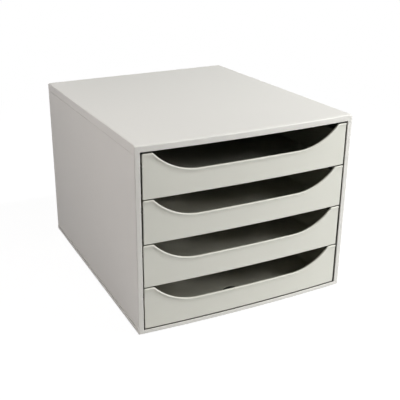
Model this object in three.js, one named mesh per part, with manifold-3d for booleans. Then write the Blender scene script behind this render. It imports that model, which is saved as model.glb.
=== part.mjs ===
// Four-drawer desktop filing module for A4 papers. Millimetres, +Z up, the front faces -Y.
// The origin is the middle of the footprint, at the level that the rubber feet stand on.
import * as THREE from 'three';
import { mergeVertices } from 'three/addons/utils/BufferGeometryUtils.js';
import Module from 'manifold-3d';

const wasm = await Module();
wasm.setup();

// Driving sizes of the case
const WIDTH = 286;
const DEPTH = 340;
const HEIGHT = 234;
const FRONT_BOW = 4.6;
const FIT_GAP = 0.3;
const CUT_OVERRUN = 10;
const EDGE_RADIUS = 1.4;

// Case panels
const LID_PLATE = 2.2;
const LID_SKIRT_HEIGHT = 10.4;
const SKIRT_WALL = 2.2;
const BASE_PLATE = 2.5;
const BASE_SKIRT_HEIGHT = 5.2;
const SIDE_WALL = 2.4;
const SIDE_JOGGLE_LAP = 3;
const BACK_PLATE = 2.2;
const BACK_RIM_DEPTH = 3.2;
const BACK_RIM_WIDTH = 7;

// Front bezel
const BEZEL_SIDE = 6.6;
const BEZEL_TOP = 7.5;
const BEZEL_BOTTOM = 4.9;
const BEZEL_DEPTH = 4;

// Snap tongues that reach from the bezel and the back into the case
const TONGUE_LENGTH = 12;
const TONGUE_WIDTH = 24;
const TONGUE_THICKNESS = 1.8;
const TONGUE_SPREAD = 150;

// Rubber feet
const FOOT_RADIUS = 7;
const FOOT_PROUD = 1.5;
const FOOT_RECESS = 1;
const FOOT_INSET = 26;

// Drawers
const DRAWER_COUNT = 4;
const FRONT_GAP = 1.5;
const FRONT_TOP_GAP = 2.3;
const FRONT_SIDE_GAP = 1.9;
const FRONT_WALL = 2.4;
const LIP_PROUD = 1.2;
const LIP_WIDTH = 2.2;
const SCOOP_DEPTH = 24.7;
const SCOOP_RADIUS = 76;
const SCOOP_TOP_HALF = 122;
const SCOOP_CORNER_RADIUS = 3;
const TRAY_HALF_WIDTH = 131.5;
const TRAY_WALL = 1.8;
const TRAY_FLOOR = 2;
const TRAY_LIFT = 1;
const TRAY_RIM_DROP = 12.5;
const TRAY_REAR_GAP = 3.5;
const TRAY_CORNER_RADIUS = 5;
const FINGER_HOLE_RADIUS = 12;
const FINGER_HOLE_SETBACK = 33.6;
const SIDE_PLAY = 0.35;

// Runner flanges on the drawers, and the rails that carry them
const FLANGE_REACH = 3.4;
const FLANGE_THICKNESS = 2;
const STOP_HEIGHT = 1.5;
const STOP_LENGTH = 4;
const STOP_INSET = 0.5;
const RUNNING_GAP = 0.3;
const RAIL_WEB = 2;
const RAIL_LEDGE = 2;
const RAIL_LEDGE_REACH = 7.9;
const RAIL_GUARD_REACH = 6.4;
const RAIL_SEAT_RIB = 1;
const RAIL_SEAT_RIB_WIDTH = 1.4;
const RAIL_REAR_GAP = 2;
const DRAWER_TRAVEL = 250;

// Places worked out from the driving sizes
const HALF_WIDTH = WIDTH / 2;
const APEX_Y = -DEPTH / 2;
const REAR_Y = DEPTH / 2;
const FRONT_SIDE_Y = APEX_Y + FRONT_BOW;
const BEZEL_REAR_Y = FRONT_SIDE_Y + BEZEL_DEPTH;
const SLEEVE_FRONT_Y = BEZEL_REAR_Y + FIT_GAP;
const BACK_FRONT_Y = REAR_Y - BACK_RIM_DEPTH;
const SLEEVE_REAR_Y = BACK_FRONT_Y - FIT_GAP;
const SLEEVE_LENGTH = SLEEVE_REAR_Y - SLEEVE_FRONT_Y;
const CASE_BOTTOM = FOOT_PROUD;
const BASE_TOP = CASE_BOTTOM + BASE_PLATE;
const BASE_SKIRT_TOP = CASE_BOTTOM + BASE_SKIRT_HEIGHT;
const LID_UNDERSIDE = HEIGHT - LID_PLATE;
const LID_SKIRT_BOTTOM = HEIGHT - LID_SKIRT_HEIGHT;
const JOGGLE_OUTER = HALF_WIDTH - SKIRT_WALL - FIT_GAP;
const JOGGLE_INNER = JOGGLE_OUTER - SIDE_WALL;
const SIDE_INNER = HALF_WIDTH - SIDE_WALL;
const OPENING_HALF = HALF_WIDTH - BEZEL_SIDE;
const OPENING_BOTTOM = CASE_BOTTOM + BEZEL_BOTTOM;
const OPENING_TOP = HEIGHT - BEZEL_TOP;
const FRONT_HALF_WIDTH = OPENING_HALF - FRONT_SIDE_GAP;
const FRONTS_SPAN = OPENING_TOP - FRONT_TOP_GAP - OPENING_BOTTOM;
const FRONT_HEIGHT = FRONTS_SPAN / DRAWER_COUNT - FRONT_GAP;
const DRAWER_PITCH = FRONT_HEIGHT + FRONT_GAP;
const TRAY_HEIGHT = FRONT_HEIGHT - TRAY_RIM_DROP;
const TRAY_REAR_Y = REAR_Y - BACK_PLATE - TRAY_REAR_GAP;
const FLANGE_OUTER = TRAY_HALF_WIDTH + FLANGE_REACH;
const RAIL_OUTER = SIDE_INNER - FIT_GAP;
const RAIL_LENGTH = SLEEVE_LENGTH - RAIL_REAR_GAP - RUNNING_GAP;
const RAIL_FRONT_Y = SLEEVE_FRONT_Y + RUNNING_GAP;
const RAIL_LEDGE_TOP = TRAY_HEIGHT - FLANGE_THICKNESS - RUNNING_GAP;
const RAIL_GUARD_BOTTOM = TRAY_HEIGHT + STOP_HEIGHT + RUNNING_GAP;
const RAIL_BOTTOM = RAIL_LEDGE_TOP - RAIL_LEDGE;
const RAIL_TOP = RAIL_GUARD_BOTTOM + RAIL_LEDGE;
const RAIL_STOP_FRONT_Y = RAIL_FRONT_Y + STOP_INSET;
const RAIL_STOP_REAR_Y = RAIL_STOP_FRONT_Y + STOP_LENGTH;
const DRAWER_STOP_Y = RAIL_STOP_REAR_Y + DRAWER_TRAVEL + RUNNING_GAP;

// Counts of flat steps on curved outlines
const BOW_STEPS = 20;
const SCOOP_STEPS = 12;
const CORNER_STEPS = 4;
const ROUND_STEPS = 28;

// Finishes, as linear three.js materials
const FINISHES = {
  case_plastic: { color: 0xd3d2cb, roughness: 0.42, metalness: 0 },
  drawer_plastic: { color: 0xcfcfc8, roughness: 0.42, metalness: 0 },
  rail_plastic: { color: 0xbebdb6, roughness: 0.5, metalness: 0 },
  foot_rubber: { color: 0x3b3b3a, roughness: 0.85, metalness: 0 },
};

// A closed geometry as a solid that can be joined and cut.
function toSolid(geometry) {
  const bare = geometry.index ? geometry.toNonIndexed() : geometry.clone();
  bare.deleteAttribute('normal');
  bare.deleteAttribute('uv');
  const merged = mergeVertices(bare);
  return new wasm.Manifold(new wasm.Mesh({
    numProp: 3,
    vertProperties: new Float32Array(merged.attributes.position.array),
    triVerts: new Uint32Array(merged.index.array),
  }));
}

// A solid as a named mesh with a material of its own.
function toMesh(name, solid, finish) {
  const data = solid.getMesh();
  const geometry = new THREE.BufferGeometry();
  geometry.setAttribute('position', new THREE.BufferAttribute(new Float32Array(data.vertProperties), 3));
  geometry.setIndex(new THREE.BufferAttribute(new Uint32Array(data.triVerts), 1));
  geometry.computeVertexNormals();
  const mesh = new THREE.Mesh(geometry, new THREE.MeshStandardMaterial(FINISHES[finish]));
  mesh.name = name;
  return mesh;
}

// A block between two corners.
function block([x0, y0, z0], [x1, y1, z1]) {
  const geometry = new THREE.BoxGeometry(x1 - x0, y1 - y0, z1 - z0);
  geometry.translate((x0 + x1) / 2, (y0 + y1) / 2, (z0 + z1) / 2);
  return toSolid(geometry);
}

// An outline in plan, raised from one level to another.
function raised(points, bottom, top) {
  const geometry = new THREE.ExtrudeGeometry(new THREE.Shape(points), {
    depth: top - bottom,
    bevelEnabled: false,
  });
  geometry.translate(0, 0, bottom);
  return toSolid(geometry);
}

// An outline seen from the front (across, up), drawn out from one depth to another.
function drawnBack(points, frontY, rearY) {
  const geometry = new THREE.ExtrudeGeometry(new THREE.Shape(points), {
    depth: rearY - frontY,
    bevelEnabled: false,
  });
  geometry.rotateX(Math.PI / 2);
  geometry.translate(0, rearY, 0);
  return toSolid(geometry);
}

// An upright round block.
function disc(radius, x, y, bottom, top) {
  const geometry = new THREE.CylinderGeometry(radius, radius, top - bottom, ROUND_STEPS);
  geometry.rotateX(Math.PI / 2);
  geometry.translate(x, y, (bottom + top) / 2);
  return toSolid(geometry);
}

const point = (x, y) => new THREE.Vector2(x, y);
const joined = (solids) => solids.reduce((whole, solid) => whole.add(solid));

// Points of a round corner about a centre, from one angle to another, in quarter turns.
function cornerPoints(x, y, radius, startQuarter, endQuarter) {
  const points = [];
  for (let step = 0; step <= CORNER_STEPS; step += 1) {
    const quarter = startQuarter + (endQuarter - startQuarter) * (step / CORNER_STEPS);
    const angle = quarter * Math.PI / 2;
    points.push(point(x + radius * Math.cos(angle), y + radius * Math.sin(angle)));
  }
  return points;
}

// A rectangle with four round corners.
function roundedRectangle(left, bottom, right, top, radius) {
  return [
    ...cornerPoints(right - radius, bottom + radius, radius, -1, 0),
    ...cornerPoints(right - radius, top - radius, radius, 0, 1),
    ...cornerPoints(left + radius, top - radius, radius, 1, 2),
    ...cornerPoints(left + radius, bottom + radius, radius, 2, 3),
  ];
}

// Depth of the bowed front face at a distance across: an arc through both side edges and the apex.
function bowedY(x) {
  const radius = (HALF_WIDTH * HALF_WIDTH + FRONT_BOW * FRONT_BOW) / (2 * FRONT_BOW);
  return APEX_Y + radius - Math.sqrt(radius * radius - x * x);
}

// Points along the bowed front, from left to right, set back by some amount.
function bowPoints(halfWidth, setback) {
  const points = [];
  for (let step = 0; step <= BOW_STEPS; step += 1) {
    const x = halfWidth * (2 * step / BOW_STEPS - 1);
    points.push(point(x, bowedY(x) + setback));
  }
  return points;
}

// A bowed plate in plan: between two setbacks from the front face.
function bowedPlate(halfWidth, setback, thickness, bottom, top) {
  const front = bowPoints(halfWidth, setback);
  const rear = bowPoints(halfWidth, setback + thickness).reverse();
  return raised([...front, ...rear], bottom, top);
}

// The space above the scooped top edge of a drawer front, kept a margin below and outside it.
// Each side is an arc of the scoop, then a small round corner inside the front, then the level edge.
function scoopSpace(frontTop, margin) {
  const radius = SCOOP_RADIUS + margin;
  const rise = SCOOP_RADIUS - SCOOP_DEPTH;
  const centreX = SCOOP_TOP_HALF - Math.sqrt(SCOOP_RADIUS * SCOOP_RADIUS - rise * rise);
  const centreZ = frontTop + rise;
  const level = frontTop - margin;
  const cornerRadius = SCOOP_CORNER_RADIUS - margin;
  const cornerDrop = rise + SCOOP_CORNER_RADIUS;
  const reachOfCentres = SCOOP_RADIUS + SCOOP_CORNER_RADIUS;
  const cornerX = centreX + Math.sqrt(reachOfCentres * reachOfCentres - cornerDrop * cornerDrop);
  const cornerZ = level - cornerRadius;
  const endAngle = Math.asin((cornerX - centreX) / reachOfCentres);
  const right = [];
  for (let step = 0; step <= SCOOP_STEPS; step += 1) {
    const angle = endAngle * (step / SCOOP_STEPS);
    right.push(point(centreX + radius * Math.sin(angle), centreZ - radius * Math.cos(angle)));
  }
  for (let step = 1; step <= CORNER_STEPS; step += 1) {
    const angle = endAngle * (1 - step / CORNER_STEPS);
    right.push(point(cornerX - cornerRadius * Math.sin(angle), cornerZ + cornerRadius * Math.cos(angle)));
  }
  const left = right.map((corner) => point(-corner.x, corner.y)).reverse();
  const reach = HALF_WIDTH + CUT_OVERRUN;
  const height = frontTop + CUT_OVERRUN;
  return [
    point(-reach, level), ...left, ...right, point(reach, level),
    point(reach, height), point(-reach, height),
  ];
}

// Snap tongues behind the bezel or in front of the back: two up, two down, and two on each side.
function snapTongues(frontY, rearY) {
  const halfWidth = TONGUE_WIDTH / 2;
  const tongues = [];
  for (const side of [-1, 1]) {
    const x = side * TONGUE_SPREAD / 2;
    const top = LID_UNDERSIDE - FIT_GAP;
    const bottom = BASE_TOP + FIT_GAP;
    tongues.push(block([x - halfWidth, frontY, top - TONGUE_THICKNESS], [x + halfWidth, rearY, top]));
    tongues.push(block([x - halfWidth, frontY, bottom], [x + halfWidth, rearY, bottom + TONGUE_THICKNESS]));
    for (const slot of [0, DRAWER_COUNT - 2]) {
      const middle = OPENING_BOTTOM + FRONT_GAP + slot * DRAWER_PITCH + (RAIL_BOTTOM + RAIL_TOP) / 2
        + DRAWER_PITCH / 2;
      const inner = side * (SIDE_INNER - FIT_GAP - TONGUE_THICKNESS);
      const outer = side * (SIDE_INNER - FIT_GAP);
      tongues.push(block(
        [Math.min(inner, outer), frontY, middle - halfWidth],
        [Math.max(inner, outer), rearY, middle + halfWidth],
      ));
    }
  }
  return joined(tongues);
}

// The bowed frame round the drawers.
function frontBezel() {
  const plan = [...bowPoints(HALF_WIDTH, 0), point(HALF_WIDTH, BEZEL_REAR_Y), point(-HALF_WIDTH, BEZEL_REAR_Y)];
  const outline = roundedRectangle(-HALF_WIDTH, CASE_BOTTOM, HALF_WIDTH, HEIGHT, EDGE_RADIUS);
  const frontY = APEX_Y - CUT_OVERRUN;
  const rearY = BEZEL_REAR_Y + CUT_OVERRUN;
  const opening = block([-OPENING_HALF, frontY, OPENING_BOTTOM], [OPENING_HALF, rearY, OPENING_TOP]);
  return raised(plan, CASE_BOTTOM, HEIGHT)
    .intersect(drawnBack(outline, frontY, rearY))
    .subtract(opening)
    .add(snapTongues(BEZEL_REAR_Y - BEZEL_DEPTH / 2, BEZEL_REAR_Y + TONGUE_LENGTH));
}

// The lid: a plate with a skirt along each side.
function caseTop() {
  const inner = HALF_WIDTH - SKIRT_WALL;
  return drawnBack([
    point(HALF_WIDTH, LID_SKIRT_BOTTOM),
    ...cornerPoints(HALF_WIDTH - EDGE_RADIUS, HEIGHT - EDGE_RADIUS, EDGE_RADIUS, 0, 1),
    ...cornerPoints(EDGE_RADIUS - HALF_WIDTH, HEIGHT - EDGE_RADIUS, EDGE_RADIUS, 1, 2),
    point(-HALF_WIDTH, LID_SKIRT_BOTTOM),
    point(-inner, LID_SKIRT_BOTTOM),
    point(-inner, LID_UNDERSIDE),
    point(inner, LID_UNDERSIDE),
    point(inner, LID_SKIRT_BOTTOM),
  ], SLEEVE_FRONT_Y, SLEEVE_REAR_Y);
}

// Places of the four feet.
function footPlaces() {
  const x = HALF_WIDTH - FOOT_INSET;
  const y = DEPTH / 2 - FOOT_INSET;
  return [
    ['front_left', -x, -y], ['front_right', x, -y],
    ['rear_left', -x, y], ['rear_right', x, y],
  ];
}

// The base: a plate with a low skirt along each side and a shallow recess for each foot.
function caseBase() {
  const inner = HALF_WIDTH - SKIRT_WALL;
  const tray = drawnBack([
    point(HALF_WIDTH, BASE_SKIRT_TOP),
    point(inner, BASE_SKIRT_TOP),
    point(inner, BASE_TOP),
    point(-inner, BASE_TOP),
    point(-inner, BASE_SKIRT_TOP),
    point(-HALF_WIDTH, BASE_SKIRT_TOP),
    ...cornerPoints(EDGE_RADIUS - HALF_WIDTH, CASE_BOTTOM + EDGE_RADIUS, EDGE_RADIUS, 2, 3),
    ...cornerPoints(HALF_WIDTH - EDGE_RADIUS, CASE_BOTTOM + EDGE_RADIUS, EDGE_RADIUS, -1, 0),
  ], SLEEVE_FRONT_Y, SLEEVE_REAR_Y);
  const recesses = footPlaces().map(([, x, y]) => disc(
    FOOT_RADIUS + FIT_GAP, x, y, CASE_BOTTOM - CUT_OVERRUN, CASE_BOTTOM + FOOT_RECESS,
  ));
  return tray.subtract(joined(recesses));
}

// Bottom of one drawer front, counted from the lowest drawer.
const slotBottom = (slot) => OPENING_BOTTOM + FRONT_GAP + slot * DRAWER_PITCH;

// A side panel: its edges are stepped inwards under the skirts of the lid and base, and low ribs seat each rail.
function sidePanel(side) {
  const bottom = BASE_SKIRT_TOP + FIT_GAP;
  const top = LID_SKIRT_BOTTOM - FIT_GAP;
  const ribInner = SIDE_INNER - RAIL_SEAT_RIB;
  const innerEdge = [];
  for (let slot = DRAWER_COUNT - 1; slot >= 0; slot -= 1) {
    const railTop = slotBottom(slot) + RAIL_TOP + FIT_GAP;
    const railBottom = slotBottom(slot) + RAIL_BOTTOM - FIT_GAP;
    for (const edge of [railTop, railBottom - RAIL_SEAT_RIB_WIDTH]) {
      innerEdge.push(
        point(SIDE_INNER, edge + RAIL_SEAT_RIB_WIDTH), point(ribInner, edge + RAIL_SEAT_RIB_WIDTH),
        point(ribInner, edge), point(SIDE_INNER, edge),
      );
    }
  }
  const profile = [
    point(HALF_WIDTH, bottom),
    point(HALF_WIDTH, top),
    point(JOGGLE_OUTER, top),
    point(JOGGLE_OUTER, LID_UNDERSIDE - FIT_GAP),
    point(JOGGLE_INNER, LID_UNDERSIDE - FIT_GAP),
    point(JOGGLE_INNER, top - SIDE_JOGGLE_LAP),
    point(SIDE_INNER, top - SIDE_JOGGLE_LAP),
    ...innerEdge,
    point(SIDE_INNER, bottom + SIDE_JOGGLE_LAP),
    point(JOGGLE_INNER, bottom + SIDE_JOGGLE_LAP),
    point(JOGGLE_INNER, BASE_TOP + FIT_GAP),
    point(JOGGLE_OUTER, BASE_TOP + FIT_GAP),
    point(JOGGLE_OUTER, bottom),
  ];
  return drawnBack(profile.map((corner) => point(side * corner.x, corner.y)), SLEEVE_FRONT_Y, SLEEVE_REAR_Y);
}

// The back: a plate with a thicker rim and tongues that snap into the case.
function caseBack() {
  const outline = roundedRectangle(-HALF_WIDTH, CASE_BOTTOM, HALF_WIDTH, HEIGHT, EDGE_RADIUS);
  const hollow = block(
    [BACK_RIM_WIDTH - HALF_WIDTH, BACK_FRONT_Y - CUT_OVERRUN, CASE_BOTTOM + BACK_RIM_WIDTH],
    [HALF_WIDTH - BACK_RIM_WIDTH, REAR_Y - BACK_PLATE, HEIGHT - BACK_RIM_WIDTH],
  );
  return drawnBack(outline, BACK_FRONT_Y, REAR_Y)
    .subtract(hollow)
    .add(snapTongues(BACK_FRONT_Y - TONGUE_LENGTH, BACK_FRONT_Y + BACK_RIM_DEPTH / 2));
}

// A runner rail: a channel with a ledge below the drawer's flange, a guard above it and a stop at the front.
function runnerRail(side, slot) {
  const base = slotBottom(slot);
  const outer = RAIL_OUTER;
  const web = RAIL_OUTER - RAIL_WEB;
  const profile = [
    point(outer, base + RAIL_BOTTOM),
    point(outer, base + RAIL_TOP),
    point(outer - RAIL_GUARD_REACH, base + RAIL_TOP),
    point(outer - RAIL_GUARD_REACH, base + RAIL_GUARD_BOTTOM),
    point(web, base + RAIL_GUARD_BOTTOM),
    point(web, base + RAIL_LEDGE_TOP),
    point(outer - RAIL_LEDGE_REACH, base + RAIL_LEDGE_TOP),
    point(outer - RAIL_LEDGE_REACH, base + RAIL_BOTTOM),
  ].map((corner) => point(side * corner.x, corner.y));
  const stopInner = side * (outer - RAIL_GUARD_REACH + STOP_INSET);
  const stopOuter = side * (web + RAIL_WEB / 2);
  const stop = block(
    [Math.min(stopInner, stopOuter), RAIL_STOP_FRONT_Y, base + TRAY_HEIGHT + RUNNING_GAP],
    [Math.max(stopInner, stopOuter), RAIL_STOP_REAR_Y, base + RAIL_TOP - RAIL_LEDGE / 2],
  );
  return drawnBack(profile, RAIL_FRONT_Y, RAIL_FRONT_Y + RAIL_LENGTH).add(stop);
}

// The plan of a tray: its front follows the bow and its rear corners are round.
function trayPlan(halfWidth, setback, rearY, radius) {
  return [
    ...bowPoints(halfWidth, setback),
    ...cornerPoints(halfWidth - radius, rearY - radius, radius, 0, 1),
    ...cornerPoints(radius - halfWidth, rearY - radius, radius, 1, 2),
  ];
}

// One drawer: bowed and scooped front with its lip, tray, runner flanges, stops and finger hole.
function drawer(slot) {
  const base = slotBottom(slot);
  const top = base + FRONT_HEIGHT;
  const faceSetback = LIP_PROUD;
  const rearSetback = LIP_PROUD + FRONT_WALL;
  const cutFrontY = APEX_Y - CUT_OVERRUN;
  const cutRearY = FRONT_SIDE_Y + rearSetback + CUT_OVERRUN;
  const floorTop = base + TRAY_LIFT + TRAY_FLOOR;
  const rim = base + TRAY_HEIGHT;
  const scoop = drawnBack(scoopSpace(top, 0), cutFrontY, cutRearY);
  const lipBand = drawnBack(scoopSpace(top, LIP_WIDTH), cutFrontY, cutRearY);
  const plate = bowedPlate(FRONT_HALF_WIDTH, faceSetback, FRONT_WALL, base, top);
  const lip = bowedPlate(FRONT_HALF_WIDTH, 0, rearSetback, base, top).intersect(lipBand);
  const outer = raised(
    trayPlan(TRAY_HALF_WIDTH, faceSetback + FRONT_WALL / 2, TRAY_REAR_Y, TRAY_CORNER_RADIUS),
    base + TRAY_LIFT, rim,
  );
  const inner = raised(
    trayPlan(TRAY_HALF_WIDTH - TRAY_WALL, rearSetback, TRAY_REAR_Y - TRAY_WALL, TRAY_CORNER_RADIUS - TRAY_WALL),
    floorTop, rim + CUT_OVERRUN,
  );
  const extras = [];
  for (const side of [-1, 1]) {
    const wall = side * (TRAY_HALF_WIDTH - TRAY_WALL / 2);
    const edge = side * FLANGE_OUTER;
    const low = Math.min(wall, edge);
    const high = Math.max(wall, edge);
    const flangeRear = TRAY_REAR_Y - TRAY_CORNER_RADIUS;
    const stopInner = side * (TRAY_HALF_WIDTH + STOP_INSET);
    const stopOuter = side * (FLANGE_OUTER - STOP_INSET);
    extras.push(block([low, RAIL_FRONT_Y, rim - FLANGE_THICKNESS], [high, flangeRear, rim]));
    extras.push(block(
      [Math.min(stopInner, stopOuter), DRAWER_STOP_Y, rim - FLANGE_THICKNESS / 2],
      [Math.max(stopInner, stopOuter), DRAWER_STOP_Y + STOP_LENGTH, rim + STOP_HEIGHT],
    ));
  }
  const hole = disc(
    FINGER_HOLE_RADIUS, 0, APEX_Y + FINGER_HOLE_SETBACK,
    base + TRAY_LIFT - CUT_OVERRUN, floorTop + TRAY_FLOOR,
  );
  return joined([outer.subtract(inner), ...extras, plate])
    .subtract(scoop)
    .add(lip.subtract(scoop))
    .subtract(hole);
}

const module = new THREE.Group();
module.add(
  toMesh('front_bezel', frontBezel(), 'case_plastic'),
  toMesh('case_top', caseTop(), 'case_plastic'),
  toMesh('case_base', caseBase(), 'case_plastic'),
  toMesh('case_back', caseBack(), 'case_plastic'),
  toMesh('left_side_panel', sidePanel(-1), 'case_plastic'),
  toMesh('right_side_panel', sidePanel(1), 'case_plastic'),
);

for (const [place, x, y] of footPlaces()) {
  const foot = disc(FOOT_RADIUS, x, y, 0, CASE_BOTTOM + FOOT_RECESS - FIT_GAP);
  module.add(toMesh(`foot_${place}`, foot, 'foot_rubber'));
}

// Drawers are numbered from the top. The upper two rest to the right in their running play, the others to the left.
for (let number = 1; number <= DRAWER_COUNT; number += 1) {
  const slot = DRAWER_COUNT - number;
  module.add(toMesh(`left_rail_${number}`, runnerRail(-1, slot), 'rail_plastic'));
  module.add(toMesh(`right_rail_${number}`, runnerRail(1, slot), 'rail_plastic'));
  const tray = toMesh(`drawer_${number}`, drawer(slot), 'drawer_plastic');
  tray.position.x = number <= DRAWER_COUNT / 2 ? SIDE_PLAY : -SIDE_PLAY;
  module.add(tray);
}

export default module;
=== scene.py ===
"""Scene of a four-drawer desktop filing module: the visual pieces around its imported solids.

Sizes are millimetres in the part's own frame: +Z up, the front faces -Y, and the origin is the
middle of the footprint at the level that the feet stand on. Meshes are stored in metres.
"""

import logging
import math
from abc import ABC, abstractmethod
from dataclasses import dataclass
from enum import Enum

import bmesh
import bpy
import numpy as np
from mathutils import Matrix, Vector


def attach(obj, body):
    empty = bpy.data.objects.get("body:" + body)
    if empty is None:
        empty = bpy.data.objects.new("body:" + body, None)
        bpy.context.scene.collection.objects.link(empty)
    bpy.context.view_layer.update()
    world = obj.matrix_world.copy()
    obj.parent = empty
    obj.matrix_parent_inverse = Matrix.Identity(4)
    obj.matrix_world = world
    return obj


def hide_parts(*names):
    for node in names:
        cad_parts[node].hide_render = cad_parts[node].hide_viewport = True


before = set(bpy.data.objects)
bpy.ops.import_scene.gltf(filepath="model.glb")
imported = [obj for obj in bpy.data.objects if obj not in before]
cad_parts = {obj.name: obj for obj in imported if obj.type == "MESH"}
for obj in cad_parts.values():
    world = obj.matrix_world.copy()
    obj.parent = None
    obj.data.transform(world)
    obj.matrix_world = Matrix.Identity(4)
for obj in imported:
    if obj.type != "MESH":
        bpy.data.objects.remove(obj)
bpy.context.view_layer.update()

LOG = logging.getLogger("filing_module")
METRES = 0.001
# The edge value drives a rubbed polish and a painted highlight on edges in the plastic's material.
EDGE_ATTRIBUTE = "edge"
SMOOTH_ANGLE = math.radians(38)
MERGE_METRES = 2e-6
LEAST_RADIUS = 0.03
LEAST_WEIGHT = 1e-9
SUPPORT_SHARE = 0.3
ARC_STEPS = 4
END_STEPS = 3
LEAST_ARC_WEAR = 0.4
END_WEAR = 0.7
INNER_EDGE = 0.35
INNER_CORNER = 0.6
WHITE = (1.0, 1.0, 1.0, 1.0)
BLACK = (0.0, 0.0, 0.0, 1.0)

Arrays = tuple[np.ndarray, np.ndarray]
Colour = tuple[float, float, float]
Corners = list[tuple[float, float]]
Place = tuple[float, float, float]


class Side(Enum):
    """The two sides of the case, as seen from the front."""

    LEFT = -1
    RIGHT = 1


class Slot(Enum):
    """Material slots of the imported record."""

    CASE = "case_plastic"
    DRAWER = "drawer_plastic"
    RAIL = "rail_plastic"
    FOOT = "foot_rubber"


@dataclass(frozen=True)
class Layout:
    """Sizes that several pieces share."""

    half_width: float = 143.0
    half_depth: float = 170.0
    height: float = 234.0
    bow: float = 4.6
    case_bottom: float = 1.5
    body_inset: float = 0.8
    corner_radius: float = 1.4
    bezel_side: float = 6.6
    bezel_top: float = 7.5
    bezel_bottom: float = 4.9
    bezel_depth: float = 4.0
    fit_gap: float = 0.3
    back_rim: float = 3.2
    lid_plate: float = 2.2
    base_plate: float = 2.5
    side_wall: float = 2.4
    drawer_count: int = 4
    front_gap: float = 1.5
    top_gap: float = 2.3
    side_gap: float = 2.1
    side_play: float = 0.35

    @property
    def body_half(self) -> float:
        """Half the width of the case behind the bezel, which stands a little proud of it."""
        return self.half_width - self.body_inset

    @property
    def wall_inner(self) -> float:
        """Place across of a side wall's inner face."""
        return self.half_width - self.side_wall

    @property
    def room_bottom(self) -> float:
        """Level just over the base's plate."""
        return self.case_bottom + self.base_plate + self.fit_gap

    @property
    def room_top(self) -> float:
        """Level just under the lid's plate."""
        return self.height - self.lid_plate - self.fit_gap

    @property
    def bezel_rear(self) -> float:
        """Depth of the bezel's rear face."""
        return -self.half_depth + self.bow + self.bezel_depth

    @property
    def back_front(self) -> float:
        """Depth of the back panel's front face."""
        return self.half_depth - self.back_rim

    @property
    def opening_half(self) -> float:
        """Half the width of the bezel's opening."""
        return self.half_width - self.bezel_side

    @property
    def opening_bottom(self) -> float:
        """Level of the opening's lower edge."""
        return self.case_bottom + self.bezel_bottom

    @property
    def opening_top(self) -> float:
        """Level of the opening's upper edge."""
        return self.height - self.bezel_top

    @property
    def pitch(self) -> float:
        """Height from one drawer to the next."""
        return (self.opening_top - self.top_gap - self.opening_bottom) / self.drawer_count

    @property
    def front_height(self) -> float:
        """Height of one drawer front."""
        return self.pitch - self.front_gap

    @property
    def front_half(self) -> float:
        """Half the width of a drawer front."""
        return self.opening_half - self.side_gap

    @property
    def numbers(self) -> range:
        """The drawers' numbers, from the top drawer, which is 1."""
        return range(1, self.drawer_count + 1)

    def bowed(self, across: np.ndarray) -> np.ndarray:
        """Depth of the bowed front line: a circle through the apex and both side edges."""
        radius = (self.half_width**2 + self.bow**2) / (2 * self.bow)
        return -self.half_depth + radius - np.sqrt(radius**2 - across**2)

    def body_run(self, seam: float) -> tuple[float, float]:
        """Depths of a piece's ends between the bezel and the back, with a seam at each."""
        return self.bezel_rear + seam, self.back_front - seam

    def drawer_bottom(self, number: int) -> float:
        """Level of the lower edge of a drawer front."""
        return self.opening_bottom + self.front_gap + (self.drawer_count - number) * self.pitch

    def drawer_shift(self, number: int) -> float:
        """How far a drawer rests to the right in its side play."""
        return self.side_play if number <= self.drawer_count / 2 else -self.side_play


LAYOUT = Layout()


def turned_left(vectors: np.ndarray) -> np.ndarray:
    """Flat vectors turned a quarter turn to the left."""
    return np.stack([-vectors[..., 1], vectors[..., 0]], axis=-1)


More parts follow.
